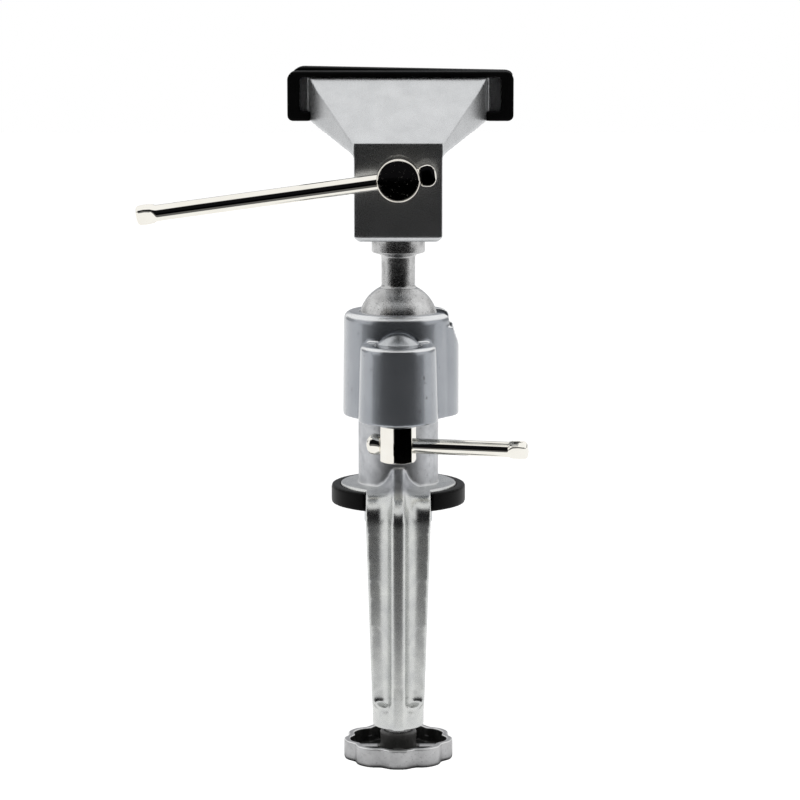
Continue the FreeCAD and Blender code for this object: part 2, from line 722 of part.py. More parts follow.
def jaw_casting(front_y, face_y):
    side = -1 if face_y > front_y else 1
    casting = fuse(jaw_web(front_y, face_y), jaw_wedge(front_y, face_y), jaw_plate(face_y, side))
    for cut in side_chamfers(front_y, face_y):
        casting = casting.cut(cut)
    return casting


def guide_beam():
    """Channel open at the bottom; it slides through the fixed jaw and covers the screw."""
    outer = box(-BEAM_HALF, BEAM_HALF, MOVING_FACE_Y - 1, BEAM_END_Y, BEAM_BOTTOM, BEAM_TOP)
    inner_half = BEAM_HALF - BEAM_WALL
    inner_top = LEAD_Z + RING_R + 0.4
    channel = box(
        -inner_half, inner_half, MOVING_FACE_Y, BEAM_END_Y + 1, BEAM_BOTTOM - 1, inner_top
    )
    return outer.cut(channel)


def moving_jaw():
    jaw = fuse(jaw_casting(MOVING_FRONT_Y, MOVING_FACE_Y), guide_beam())
    return jaw.cut(cylinder_y(LEAD_R + 0.08, MOVING_FRONT_Y - 1, MOVING_FACE_Y + 1, 0, LEAD_Z))


def fixed_jaw():
    jaw = jaw_casting(FIXED_BACK_Y, FIXED_FACE_Y)
    half = BEAM_HALF + TUNNEL_GAP
    tunnel = box(
        -half, half, FIXED_FACE_Y - 1, FIXED_BACK_Y + 1,
        BEAM_BOTTOM - TUNNEL_GAP, BEAM_TOP + TUNNEL_GAP,
    )
    spigot_hole = cylinder(SPIGOT_R + SLIDING_GAP, HEAD_BOTTOM - 1, BEAM_BOTTOM + 1)
    return jaw.cut(tunnel).cut(spigot_hole)


def lead_nut():
    """Block inside the guide beam, held to the floor of the fixed jaw by the stem's spigot."""
    nut = box(
        -NUT_HALF_X, NUT_HALF_X, -NUT_HALF_Y, NUT_HALF_Y, BEAM_BOTTOM - TUNNEL_GAP, NUT_TOP
    )
    nut = nut.cut(cylinder_y(LEAD_R + SLIDING_GAP, -NUT_HALF_Y - 1, NUT_HALF_Y + 1, 0, LEAD_Z))
    return nut.cut(cylinder(SPIGOT_R + SLIDING_GAP, BEAM_BOTTOM - 1, SPIGOT_TOP + 0.4))


def lead_screw():
    head = cylinder_y(LEAD_HEAD_R, LEAD_HEAD_FRONT_Y, LEAD_HEAD_BACK_Y, 0, LEAD_Z)
    rims = edges_where(head, lambda edge: isinstance(edge.Curve, Part.Circle))
    head = head.makeChamfer(LEAD_HEAD_CHAMFER, rims)
    shank = cylinder_y(LEAD_R, LEAD_HEAD_BACK_Y - 1, LEAD_END_Y, 0, LEAD_Z)
    y0, y1 = ring_span()
    groove = cylinder_y(LEAD_R + 1, y0, y1, 0, LEAD_Z).cut(
        cylinder_y(LEAD_R - RING_GROOVE_DEPTH, y0, y1, 0, LEAD_Z)
    )
    bore = Part.makeCylinder(LEAD_BAR_R + SLIDING_GAP, 4 * LEAD_HEAD_R, Vector(-2 * LEAD_HEAD_R, 0, 0), X)
    bar_frame(bore, Y, -LEAD_BAR_TILT, Vector(0, LEAD_BAR_Y, LEAD_Z))
    return fuse(head, shank).cut(groove).cut(bore)


def ring_span():
    y0 = MOVING_FACE_Y + SHIM_GAP
    return y0, y0 + RING_THICKNESS


def retaining_ring():
    y0, y1 = ring_span()
    ring = cylinder_y(RING_R, y0, y1, 0, LEAD_Z)
    return ring.cut(cylinder_y(LEAD_R - RING_GROOVE_DEPTH, y0, y1, 0, LEAD_Z))


def thrust_washer():
    y0 = LEAD_HEAD_BACK_Y
    y1 = MOVING_FRONT_Y - SHIM_GAP
    washer = cylinder_y(LEAD_HEAD_R - 0.3, y0, y1, 0, LEAD_Z)
    return washer.cut(cylinder_y(LEAD_R, y0, y1, 0, LEAD_Z))


def lead_screw_bar():
    bar = t_bar(LEAD_BAR_R, LEAD_HEAD_R, LEAD_HEAD_R + 2.0, LEAD_BAR_END)
    return bar_frame(bar, Y, -LEAD_BAR_TILT, Vector(0, LEAD_BAR_Y, LEAD_Z))


def jaw_cover(jaw, face_y, side, top):
    """Rubber sleeve pushed over a jaw plate, with a lip that hooks behind its edges."""
    y_face = face_y - side * COVER_FACE
    y_lip = face_y + side * (PLATE_THICKNESS + COVER_LIP)
    y_plate = face_y + side * PLATE_THICKNESS
    sleeve = box(COVER_LEFT, COVER_RIGHT, min(y_face, y_lip), max(y_face, y_lip), COVER_BOTTOM, top)
    uprights = edges_where(
        sleeve, lambda edge: edge.BoundBox.ZLength < 0.01 and edge.BoundBox.XLength < 0.01
    )
    sleeve = sleeve.makeFillet(1.5, uprights)
    window = box(
        LIP_LEFT, LIP_RIGHT,
        min(y_plate, y_lip + side), max(y_plate, y_lip + side),
        PLATE_BOTTOM + LIP_OVERLAP, PLATE_TOP - LIP_OVERLAP,
    )
    return sleeve.cut(window).cut(jaw)


# ---------------------------------------------------------------- the assembly

def build():
    moving = moving_jaw()
    fixed = fixed_jaw()
    return {
        "clamp_frame": clamp_frame(),
        "table_pad": table_pad(),
        "clamp_pad": clamp_pad(),
        "clamp_screw": clamp_screw(),
        "pad_clip": pad_clip(),
        "hand_wheel": hand_wheel(),
        "wheel_pin": wheel_pin(),
        "socket_housing": socket_housing(),
        "ball_seat": ball_seat(),
        "housing_set_screw": housing_set_screw(),
        "ball_stem": ball_stem(),
        "lock_plunger": lock_plunger(),
        "brake_shoe": brake_shoe(),
        "lock_screw": lock_screw(),
        "lock_washer": lock_washer(),
        "lock_bar": lock_bar(),
        "fixed_jaw": fixed,
        "fixed_jaw_cover": jaw_cover(fixed, FIXED_FACE_Y, 1, FIXED_COVER_TOP),
        "lead_nut": lead_nut(),
        "moving_jaw": moving,
        "moving_jaw_cover": jaw_cover(moving, MOVING_FACE_Y, -1, MOVING_COVER_TOP),
        "lead_screw": lead_screw(),
        "thrust_washer": thrust_washer(),
        "retaining_ring": retaining_ring(),
        "lead_screw_bar": lead_screw_bar(),
    }


os.makedirs("parts", exist_ok=True)
for name, shape in build().items():
    print(name, shape.isValid(), len(shape.Solids), round(shape.Volume, 1))
    shape.exportStep("parts/" + name + ".step")
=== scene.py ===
import json
import math

import bpy
import numpy as np
from mathutils import Matrix, Vector


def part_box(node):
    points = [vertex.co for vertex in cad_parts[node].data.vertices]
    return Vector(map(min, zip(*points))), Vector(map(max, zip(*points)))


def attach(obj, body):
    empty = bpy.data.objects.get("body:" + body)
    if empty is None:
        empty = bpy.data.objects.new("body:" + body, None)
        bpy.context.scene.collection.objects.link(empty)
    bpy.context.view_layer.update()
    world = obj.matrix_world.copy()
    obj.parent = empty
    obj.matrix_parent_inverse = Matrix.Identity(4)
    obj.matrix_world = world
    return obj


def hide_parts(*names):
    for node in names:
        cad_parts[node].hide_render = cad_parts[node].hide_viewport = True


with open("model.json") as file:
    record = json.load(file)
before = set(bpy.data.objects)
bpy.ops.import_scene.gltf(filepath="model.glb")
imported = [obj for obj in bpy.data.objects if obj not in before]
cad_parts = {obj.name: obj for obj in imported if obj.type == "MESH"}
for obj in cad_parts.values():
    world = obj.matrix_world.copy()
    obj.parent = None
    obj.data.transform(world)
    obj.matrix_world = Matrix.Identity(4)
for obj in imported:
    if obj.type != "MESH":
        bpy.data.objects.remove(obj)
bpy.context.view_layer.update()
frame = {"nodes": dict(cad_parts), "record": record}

MM = 0.001
NODES = frame["nodes"]
ZONE_ROUNDS = 80

# Sockets of a colour Mix node, which share their names with its number sockets
MIX_A = 6
MIX_B = 7
MIX_RESULT = 2

# Millimetres and degrees, in the frame's axes
FLANGE_TOP = 7.1
WHEEL_R = 19.8
WHEEL_WALL = 1.85
WHEEL_BOTTOM = -94.7
WHEEL_RIM_TOP = -87.6
SPOKE_TOP = -90.7
SPOKE_REACH = 15.8
HUB_R = 6.6
CLAMP_SCREW_R = 5.0
CLAMP_PITCH = 1.5
CLAMP_TRAVEL = 56.5
BALL_Z = 64.7
BALL_R = 14.2
NECK_R = 6.0
NECK_FILLET = 1.3
COLLAR_R = 9.5
STUD_R = 4.0
LOCK_Y = -23.0
LOCK_HEX_FLATS = 11.45
LOCK_HEX_BOTTOM = 18.2
LOCK_HEX_TOP = 31.1
LOCK_SHANK_R = 4.0
LOCK_BAR_Z = 24.2
LOCK_BAR_R = 2.7
LOCK_BAR_TURN = -13.0
LEAD_Z = 120.7
LEAD_PITCH = 2.0
LEAD_SHANK_R = 4.0
LEAD_HEAD_R = 7.3
LEAD_BAR_Y = -59.4
LEAD_BAR_R = 2.75
LEAD_BAR_TILT = 7.9
RIB_HALF = 2.4
COVER_LEFT = -38.2
COVER_RIGHT = 39.7
COVER_BOTTOM = 138.0
FRONT_COVER_TOP = 155.0
REAR_COVER_TOP = 156.2
BEAM_START_Y = -19.8
BEAM_MID_Z = 118.45


# ---------------------------------------------------------------- shader helpers

class Shader:
    """A node tree with one Principled surface, built up in plain steps."""

    def __init__(self, name):
        self.material = bpy.data.materials.new(name)
        self.material.use_nodes = True
        self.tree = self.material.node_tree
        self.tree.nodes.clear()
        self.surface = self.node("ShaderNodeBsdfPrincipled")
        output = self.node("ShaderNodeOutputMaterial")
        self.link(self.surface.outputs["BSDF"], output.inputs["Surface"])
        self.place = self.node("ShaderNodeTexCoord").outputs["Object"]

    def node(self, kind):
        return self.tree.nodes.new(kind)

    def link(self, start, end):
        self.tree.links.new(start, end)

    def noise(self, size_mm, detail=3.0, roughness=0.55):
        """Noise in object space, with blobs about size_mm across."""
        noise = self.node("ShaderNodeTexNoise")
        noise.inputs["Scale"].default_value = 1 / (size_mm * MM)
        noise.inputs["Detail"].default_value = detail
        noise.inputs["Roughness"].default_value = roughness
        self.link(self.place, noise.inputs["Vector"])
        return noise.outputs["Fac"]

    def ramp(self, value, low, high, out_low, out_high):
        """Straight line from out_low at low to out_high at high, clamped outside."""
        node = self.node("ShaderNodeMapRange")
        node.inputs["From Min"].default_value = low
        node.inputs["From Max"].default_value = high
        node.inputs["To Min"].default_value = out_low
        node.inputs["To Max"].default_value = out_high
        self.link(value, node.inputs["Value"])
        return node.outputs["Result"]

    def math(self, operation, a, b=0.0):
        node = self.node("ShaderNodeMath")
        node.operation = operation
        for socket, value in zip(node.inputs, (a, b)):
            if isinstance(value, (int, float)):
                socket.default_value = value
            else:
                self.link(value, socket)
        return node.outputs["Value"]

    def times(self, first, *others):
        """Product of two or more values."""
        for other in others:
            first = self.math("MULTIPLY", first, other)
        return first

    def mix(self, factor, a, b):
        """Colour between two colours."""
        node = self.node("ShaderNodeMix")
        node.data_type = "RGBA"
        self.link(factor, node.inputs["Factor"])
        for socket, value in ((node.inputs[MIX_A], a), (node.inputs[MIX_B], b)):
            if isinstance(value, tuple):
                socket.default_value = (*value, 1)
            else:
                self.link(value, socket)
        return node.outputs[MIX_RESULT]

    def blend(self, factor, a, b):
        """Value between two values."""
        return self.math("ADD", a, self.times(factor, self.math("SUBTRACT", b, a)))

    def split(self):
        """Object coordinates, one by one, in metres."""
        node = self.node("ShaderNodeSeparateXYZ")
        self.link(self.place, node.inputs["Vector"])
        return node.outputs

    def radius(self):
        """Distance from the object's Z axis, in metres."""
        x, y = self.split()[:2]
        return self.math("SQRT", self.math("ADD", self.times(x, x), self.times(y, y)))

    def upper_edge_highlight(self):
        """Mask for a painted highlight: 1 on rounded upper edges, where the surface faces up by 30
        to 65 degrees.
        """
        node = self.node("ShaderNodeSeparateXYZ")
        self.link(self.node("ShaderNodeNewGeometry").outputs["Normal"], node.inputs["Vector"])
        up = node.outputs["Z"]
        return self.times(self.ramp(up, 0.30, 0.50, 0.0, 1.0), self.ramp(up, 0.88, 0.97, 1.0, 0.0))

    def bump(self, height, depth_mm, normal=None):
        """Surface normal pushed about by height, over another bump if one is given."""
        node = self.node("ShaderNodeBump")
        node.inputs["Strength"].default_value = 1.0
        node.inputs["Distance"].default_value = depth_mm * MM
        self.link(height, node.inputs["Height"])
        if normal is not None:
            self.link(normal, node.inputs["Normal"])
        return node.outputs["Normal"]

    def set(self, **values):
        """Set or link the surface's inputs, named with underscores for spaces."""
        for name, value in values.items():
            socket = self.surface.inputs[name.replace("_", " ")]
            if isinstance(value, tuple):
                socket.default_value = (*value, 1)
            elif isinstance(value, (int, float)):
                socket.default_value = value
            else:
                self.link(value, socket)


def metal(name, tones, rough, grain, wave=None, speck=0.0, metallic=1.0):
    """Bare or plated metal.

    tones are its dark and light colour, grain and wave are (size, depth) in mm, and speck is how
    strongly small dull spots show.
    """
    s = Shader(name)
    dark, light = tones
    drift = s.noise(6.0, detail=4.0)
    fine = s.noise(grain[0], detail=2.0, roughness=0.7)
    colour = s.mix(s.ramp(drift, 0.3, 0.7, 0.0, 1.0), dark, light)
    gloss = s.ramp(fine, 0.25, 0.75, rough * 0.8, rough * 1.2)
    if speck > 0:
        pits = s.ramp(s.noise(0.9, detail=2.0), 0.60, 0.72, 0.0, speck)
        colour = s.mix(pits, colour, tuple(c * 0.45 for c in dark))
        gloss = s.blend(pits, gloss, 0.75)
    s.set(Base_Color=colour, Metallic=metallic, Roughness=gloss)
    normal = s.bump(fine, grain[1])
    if wave:
        normal = s.bump(s.noise(wave[0], detail=1.0), wave[1], normal)
    s.set(Normal=normal)
    return s.material


def frame_casting():
    """Tumbled casting: satin on the spine, duller and grainier on the post and flange."""
    s = Shader("frame_casting")
    z = s.split()[2]
    post = s.ramp(z, (FLANGE_TOP - 0.3) * MM, (FLANGE_TOP + 1.4) * MM, 0.0, 1.0)
    drift = s.ramp(s.noise(5.0, detail=5.0), 0.3, 0.7, 0.0, 1.0)
    grain = s.noise(0.45, detail=3.0, roughness=0.7)
    coarse = s.noise(1.6, detail=4.0, roughness=0.65)
    satin = s.mix(drift, (0.55, 0.56, 0.56), (0.70, 0.71, 0.69))
    dull = s.mix(drift, (0.44, 0.45, 0.47), (0.64, 0.65, 0.67))
    pits = s.ramp(coarse, 0.60, 0.72, 0.0, 0.55)
    pits = s.times(pits, s.ramp(post, 0, 1, 0.2, 1.0))
    s.set(Base_Color=s.mix(pits, s.mix(post, satin, dull), (0.26, 0.26, 0.27)), Metallic=1.0)
    spine_rough = s.ramp(grain, 0.3, 0.7, 0.24, 0.31)
    post_rough = s.ramp(grain, 0.3, 0.7, 0.34, 0.44)
    s.set(Roughness=s.blend(post, spine_rough, post_rough))
    slow = s.times(s.noise(2.6, detail=3.0), s.ramp(post, 0, 1, 0.2, 1.0))
    fine = s.times(grain, s.ramp(post, 0, 1, 0.12, 1.0))
    s.set(Normal=s.bump(fine, 0.045, s.bump(slow, 0.07)))
    return s.material


def wheel_casting():
    """Sand-grey casting with a painted highlight on its upper edges, painted shade inside the dish
    and along its bottom edge, and a dark grey hub.
    """
    s = Shader("wheel_casting")
    z = s.split()[2]
    radius = s.radius()

    def above(height, over):
        """1 above height + over and 0 below height, in mm."""
        return s.ramp(z, height * MM, (height + over) * MM, 0.0, 1.0)

    def below(height, over):
        """1 below height and 0 above height + over, in mm."""
        return s.ramp(z, height * MM, (height + over) * MM, 1.0, 0.0)

    def within(reach, over):
        """1 nearer to the axis than reach, and 0 beyond reach + over."""
        return s.ramp(radius, reach * MM, (reach + over) * MM, 1.0, 0.0)

    above_floor = above(WHEEL_BOTTOM + 0.8, 0.4)
    inner = within(WHEEL_R - WHEEL_WALL, 0.2)
    # Painted shade inside the dish, from below the rim's top down to just above the wheel's
    # bottom.
    well_shade = s.times(inner, below(WHEEL_RIM_TOP - 0.45, 0.3), above_floor)
    hub = within(HUB_R + 0.6, 0.4)
    spoke_top = s.times(above(SPOKE_TOP - 0.35, 0.25), below(SPOKE_TOP + 0.1, 0.25))
    away = s.ramp(radius, (HUB_R + 0.8) * MM, (HUB_R + 1.4) * MM, 0.0, 1.0)
    spoke = s.times(spoke_top, away, within(SPOKE_REACH, 0.6))
    # Painted shade in the dish together with the dark hub, kept off the spoke tops.
    dark = s.math("MAXIMUM", well_shade, s.times(hub, above_floor))
    dark = s.times(dark, s.math("SUBTRACT", 1.0, spoke))
    grain = s.noise(0.5, detail=3.0, roughness=0.7)
    drift = s.ramp(s.noise(5.0, detail=3.0), 0.3, 0.7, 0.0, 1.0)
    outside = s.mix(drift, (0.44, 0.44, 0.445), (0.56, 0.56, 0.565))
    speckle = s.ramp(s.noise(0.8, detail=2.0), 0.58, 0.72, 0.0, 0.45)
    outside = s.mix(speckle, outside, (0.24, 0.24, 0.245))
    # Painted highlight on the rounded upper edges.
    outside = s.mix(s.upper_edge_highlight(), outside, (0.80, 0.80, 0.80))
    # Painted contact shadow along the bottom edge.
    outside = s.mix(below(WHEEL_BOTTOM + 0.2, 1.2), outside, (0.05, 0.05, 0.05))
    # Near black for the painted shade in the dish, dark grey on the hub.
    inside = s.mix(hub, (0.014, 0.014, 0.013), (0.085, 0.083, 0.080))
    s.set(Base_Color=s.mix(dark, outside, inside))
    s.set(Metallic=s.ramp(dark, 0.0, 1.0, 0.95, 0.2))
    s.set(Roughness=s.ramp(grain, 0.3, 0.7, 0.34, 0.48))
    s.set(Normal=s.bump(grain, 0.06, s.bump(s.noise(2.2, detail=2.0), 0.05)))
    return s.material


def lacquer(name):
    """Blue-grey metallic lacquer over a smooth casting, with a painted highlight on its shoulders
    and with dust nibs.
    """
    s = Shader(name)
    drift = s.ramp(s.noise(9.0, detail=3.0), 0.3, 0.7, 0.0, 1.0)
    nib = s.ramp(s.noise(1.6, detail=2.0), 0.69, 0.75, 0.0, 1.0)
    base = s.mix(drift, (0.315, 0.335, 0.365), (0.36, 0.38, 0.41))
    colour = s.mix(nib, base, (0.12, 0.12, 0.125))
    # Painted highlight on the upward-facing shoulders and rounded top edges.
    s.set(Base_Color=s.mix(s.upper_edge_highlight(), colour, (0.82, 0.83, 0.84)), Metallic=0.8, Roughness=0.27)
    s.set(Normal=s.bump(nib, -0.02, s.bump(s.noise(7.0, detail=1.0), 0.05)))
    s.surface.inputs["Coat Weight"].default_value = 0.9
    s.surface.inputs["Coat Roughness"].default_value = 0.06
    return s.material


def rubber(name, colour, rough, grain_mm, grain_depth, shine=0.5, bloom=1.6):
    """Rubber with a faint cloudy bloom on its surface."""
    s = Shader(name)
    grain = s.noise(grain_mm, detail=3.0, roughness=0.65)
    cloud = s.ramp(s.noise(5.0), 0.3, 0.7, 0.0, 1.0)
    s.set(Base_Color=s.mix(cloud, colour, tuple(c * bloom for c in colour)))
    s.surface.inputs["Specular IOR Level"].default_value = shine
    s.set(Roughness=s.ramp(grain, 0.3, 0.7, rough * 0.88, rough * 1.12))
    s.set(Normal=s.bump(grain, grain_depth))
    return s.material


def grey(level, blue=0.0):
    """Neutral colour, or one with a little blue."""
    return (level, level + blue / 2, level + blue)


MATERIALS = {
    "frame": frame_casting(),
    "jaw": metal(
        "jaw_casting", (grey(0.60, 0.02), grey(0.68, 0.02)), 0.28, (0.25, 0.006), (7.0, 0.014),
        metallic=0.95,
    ),
    "wheel": wheel_casting(),
    "lacquer": lacquer("grey_lacquer"),
    "ball": metal(
        "ball_casting", (grey(0.40), grey(0.68)), 0.26, (0.5, 0.045), (2.5, 0.05), speck=0.5,
    ),
    "nickel": metal("nickel_plate", ((0.88, 0.85, 0.78), (0.92, 0.90, 0.84)), 0.05, (1.0, 0.0006)),
    "nickel_face": metal(
        "nickel_face", ((0.66, 0.63, 0.57), (0.82, 0.79, 0.72)), 0.10, (0.5, 0.006), (1.8, 0.012),
        speck=0.45,
    ),
    "zinc": metal("zinc_plate", (grey(0.46, 0.03), grey(0.62, 0.03)), 0.30, (0.5, 0.008)),
    "steel": metal("oiled_steel", (grey(0.38), grey(0.48)), 0.28, (0.4, 0.006)),
    "black_steel": metal("black_oxide_steel", (grey(0.05), grey(0.08)), 0.35, (0.4, 0.006)),
    "brass": metal("brass", ((0.60, 0.44, 0.18), (0.70, 0.53, 0.24)), 0.25, (0.4, 0.004)),
    "pad_rubber": rubber("pad_rubber", grey(0.002), 0.36, 0.5, 0.008, shine=0.06),
    "jaw_rubber": rubber("jaw_rubber", grey(0.002), 0.55, 0.5, 0.02, shine=0.05),
    "nylon": rubber("nylon", (0.62, 0.61, 0.57), 0.45, 0.8, 0.004, bloom=1.1),
}

FINISH = {
    "clamp_frame": "frame",
    "table_pad": "pad_rubber",
    "clamp_pad": "zinc",
    "clamp_screw": "steel",
    "pad_clip": "black_steel",
    "hand_wheel": "wheel",
    "wheel_pin": "steel",
    "socket_housing": "lacquer",
    "ball_seat": "nylon",
    "housing_set_screw": "black_steel",
    "ball_stem": "ball",
    "lock_plunger": "zinc",
    "brake_shoe": "brass",
    "lock_screw": "nickel",
    "lock_washer": "zinc",
    "lock_bar": "nickel",
    "fixed_jaw": "jaw",
    "fixed_jaw_cover": "jaw_rubber",
    "lead_nut": "steel",
    "moving_jaw": "jaw",
    "moving_jaw_cover": "jaw_rubber",
    "lead_screw": "nickel_face",
    "thrust_washer": "zinc",
    "retaining_ring": "black_steel",
    "lead_screw_bar": "nickel",
}

for node, finish in FINISH.items():
    NODES[node].data.materials.clear()
    NODES[node].data.materials.append(MATERIALS[finish])


# ---------------------------------------------------------------- pieces

def body_of(node):
    """The body that the record puts a CAD node on."""
    for body, nodes in frame["record"]["behaviour"]["bodies"].items():
        if node in nodes:
            return body
    raise ValueError(node)


def add_piece(mesh, node):
    """Put a mesh in the scene in place of a CAD node."""
    finish = FINISH[node]
    mesh.materials.clear()
    mesh.materials.append(MATERIALS[finish])
    piece = bpy.data.objects.new(mesh.name, mesh)
    bpy.context.scene.collection.objects.link(piece)
    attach(piece, body_of(node))
    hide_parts(node)


def relaxed(mesh, points, weight, rounds):
    """Move each point towards the middle of its neighbours, as far as its weight (0 to 1) says."""
    edges = np.empty(len(mesh.edges) * 2, dtype=int)
    mesh.edges.foreach_get("vertices", edges)
    start, end = edges.reshape(-1, 2).T
    start, end = np.concatenate([start, end]), np.concatenate([end, start])
    count = np.bincount(start, minlength=len(points))
    share = (weight / np.maximum(count, 1))[:, None]
    for _ in range(rounds):
        sums = [np.bincount(start, points[end, axis], len(points)) for axis in range(3)]
        total = np.stack(sums, axis=1)
        points = points + share * (total - points * count[:, None]) * 0.5
    return points


def softened(node, voxel, rounds, shape=None, zone=None):
    """Copy of a CAD solid with its sharp edges worn round, kept inside the solid's own box.

    It is remeshed and smoothed all over, then more where zone(points) says, then shape(points)
    moves its points. All of this is in millimetres.
    """
    mesh = NODES[node].data.copy()
    mesh.transform(Matrix.Scale(1 / MM, 4))
    work = bpy.data.objects.new("work", mesh)
    bpy.context.scene.collection.objects.link(work)
    remesh = work.modifiers.new("remesh", "REMESH")
    remesh.mode = "VOXEL"
    remesh.voxel_size = voxel
    depsgraph = bpy.context.evaluated_depsgraph_get()
    done = bpy.data.meshes.new_from_object(work.evaluated_get(depsgraph))
    bpy.data.objects.remove(work)
    done.name = node + "_cast"
    coords = np.empty(len(done.vertices) * 3)
    done.vertices.foreach_get("co", coords)
    points = relaxed(done, coords.reshape(-1, 3), np.ones(len(done.vertices)), rounds)
    if zone:
        points = relaxed(done, points, zone(points), ZONE_ROUNDS)
    if shape:
        points = shape(points)
    low, high = (np.array(corner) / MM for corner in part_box(node))
    done.vertices.foreach_set("co", (np.clip(points, low, high) * MM).ravel())
    done.polygons.foreach_set("use_smooth", [True] * len(done.polygons))
    done.update()
    return done


def eased(values, start, width):
    """0 up to start, 1 from start + width on, and a straight line between."""
    return np.clip((values - start) / width, 0, 1)


def frame_zone(points):
    """Where the frame casting is smoothed more: its bend, its spine and the foot of the spine."""
    x, y, z = points.T
    foot = eased(-z, 62.0, 2.0) * eased(z, -71.5, 2.0) * eased(abs(x), RIB_HALF, 1.0)
    spine = eased(-z, -2.0, 4.0) * eased(z, -64.0, 4.0)
    front = eased(-y, 25.5, 2.0)
    return np.maximum(0.25 * foot, 0.2 * spine) * front


def skin(name, rings):
    """Closed tube through rings of points (all the same length), in millimetres."""
    rings = np.array(rings)
    count, around = rings.shape[:2]
    faces = []
    for i in range(count - 1):
        this = i * around
        following = this + around
        for j in range(around):
            k = (j + 1) % around
            faces.append((this + j, this + k, following + k, following + j))
    faces.append(tuple(range(around))[::-1])
    faces.append(tuple((count - 1) * around + j for j in range(around)))
    mesh = bpy.data.meshes.new(name)
    mesh.from_pydata([tuple(p) for p in rings.reshape(-1, 3) * MM], [], faces)
    mesh.polygons.foreach_set("use_smooth", [True] * len(mesh.polygons))
    mesh.update()
    return mesh


def crisp(mesh, degrees):
    """Smooth shading with sharp edges above an angle."""
    mesh.set_sharp_from_angle(angle=math.radians(degrees))
    return mesh


def turned(name, profile, steps, centre=(0, 0, 0), axis="z"):
    """Surface from (height, radius) pairs; a radius may be a number or a function of the angle."""
    rings = []
    for height, radius in profile:
        ring = []
        for i in range(steps):
            a = 2 * math.pi * i / steps
            r = radius(a) if callable(radius) else radius
            u = r * math.cos(a)
            v = r * math.sin(a)
            point = (u, v, height) if axis == "z" else (v, height, u)
            ring.append([p + c for p, c in zip(point, centre)])
        rings.append(ring)
    return skin(name, rings)


def arc_points(cx, cy, r, start, end, count):
    """(height, radius) pairs on a circle in the (radius, height) plane."""
    points = []
    for i in range(count + 1):
        a = math.radians(start + (end - start) * i / count)
        points.append((cy + r * math.sin(a), cx + r * math.cos(a)))
    return points


def thread(start, end, pitch, major, minor, runout=1.5):
    """Profile of a right-hand thread between two heights, fading out at both."""

    def radius_at(height):
        fade = min(1.0, (height - start) / runout, (end - height) / runout)
        fade = max(0.0, fade)

        def radius(a):
            phase = (height / pitch - a / (2 * math.pi)) % 1.0
            ridge = min(1.0, max(0.0, 2.6 * (0.5 - abs(phase - 0.5)) - 0.25))
            cut = (major - minor) * (1 - ridge)
            return major - cut * fade
        return radius

    rows = int((end - start) / pitch * 10)
    heights = [start + (end - start) * i / rows for i in range(rows + 1)]
    return [(height, radius_at(height)) for height in heights]


def finer_stations(stations, per_span=6):
    """More stations between the given ones, evenly spaced."""
    out = []
    for a, b in zip(stations, stations[1:]):
        for i in range(per_span):
            t = i / per_span
            out.append(tuple(p + (q - p) * t for p, q in zip(a, b)))
    out.append(stations[-1])
    return out


def bar_mesh(name, stations, centre, axis, degrees, steps=48):
    """Bar along its own X, turned about axis at centre.

    Its stations are (x, half width, half thickness, squareness, roll).
    """
    turn = Matrix.Rotation(math.radians(degrees), 3, axis)
    rings = []
    for x, width, thickness, power, roll in finer_stations(stations):
        ring = []
        r = math.radians(roll)
        for i in range(steps):
            a = 2 * math.pi * i / steps
            c = math.cos(a)
            s = math.sin(a)
            u = width * math.copysign(abs(c) ** (2 / power), c)
            v = thickness * math.copysign(abs(s) ** (2 / power), s)
            across = v * math.cos(r) + u * math.sin(r)
            upward = u * math.cos(r) - v * math.sin(r)
            ring.append(turn @ Vector((x, across, upward)) + Vector(centre))
        rings.append(ring)
    return crisp(skin(name, rings), 50)


def t_bar_stations(radius, head_half, end, far_roll, knob_roll, knob_half, squareness):
    """Flattened far end, round bar, and a knob close to the head.

    The far end is at -end, and the knob starts at head_half, just outside the head.
    """
    far = [
        (0.0, 1.9, 1.0, 4.0),
        (0.25, 2.6, 1.5, 6.0),
        (0.9, 3.05, 1.8, 7.0),
        (3.0, 3.25, 1.85, 7.0),
        (5.0, 3.1, 1.95, 6.0),
        (6.6, radius, radius * 0.98, 2.2),
        (7.0, radius, radius, 2.0),
    ]
    knob = [
        (0.12, 3.1, 0.9, 0.8),
        (0.5, 3.35, 1.0, 1.0),
        (1.9, 3.7, 1.0, 1.0),
        (2.9, 3.8, 1.0, 1.0),
        (3.9, 3.5, 1.0, 1.0),
        (4.6, 2.95, 0.96, 0.9),
        (5.1, 2.3, 0.88, 0.8),
        (5.4, 1.6, 0.7, 0.6),
        (5.55, 0.8, 0.45, 0.4),
    ]
    stations = [(x - end, *shape, far_roll) for x, *shape in far]
    stations.append((head_half - 0.1, radius, radius, 2.0, knob_roll))
    for x, half, thick, square in knob:
        power = max(2.0, squareness * square)
        stations.append((x + head_half, half, min(half, knob_half * thick), power, knob_roll))
    return stations


def ball_profile():
    """Ball, neck with its fillets, collar, and the stud that goes up into the rear jaw."""
    rise = math.sqrt((BALL_R + NECK_FILLET) ** 2 - (NECK_R + NECK_FILLET) ** 2)
    meet = math.degrees(math.atan2(rise, NECK_R + NECK_FILLET))
    profile = arc_points(0, BALL_Z, BALL_R, -84, meet, 48)
    profile += arc_points(NECK_R + NECK_FILLET, BALL_Z + rise, NECK_FILLET, 180 + meet, 180, 8)
    profile += arc_points(NECK_R + 1.2, 88.0, 1.2, 180, 110, 5)
    profile += [(89.4, NECK_R + 1.5), (89.62, NECK_R + 2.0), (89.65, 8.4)]
    profile += arc_points(COLLAR_R - 0.6, 90.4, 0.6, -60, 0, 4)
    profile += [(98.2, COLLAR_R), (98.64, COLLAR_R - 0.3)]
    return profile + [(98.65, STUD_R), (113.9, STUD_R)]


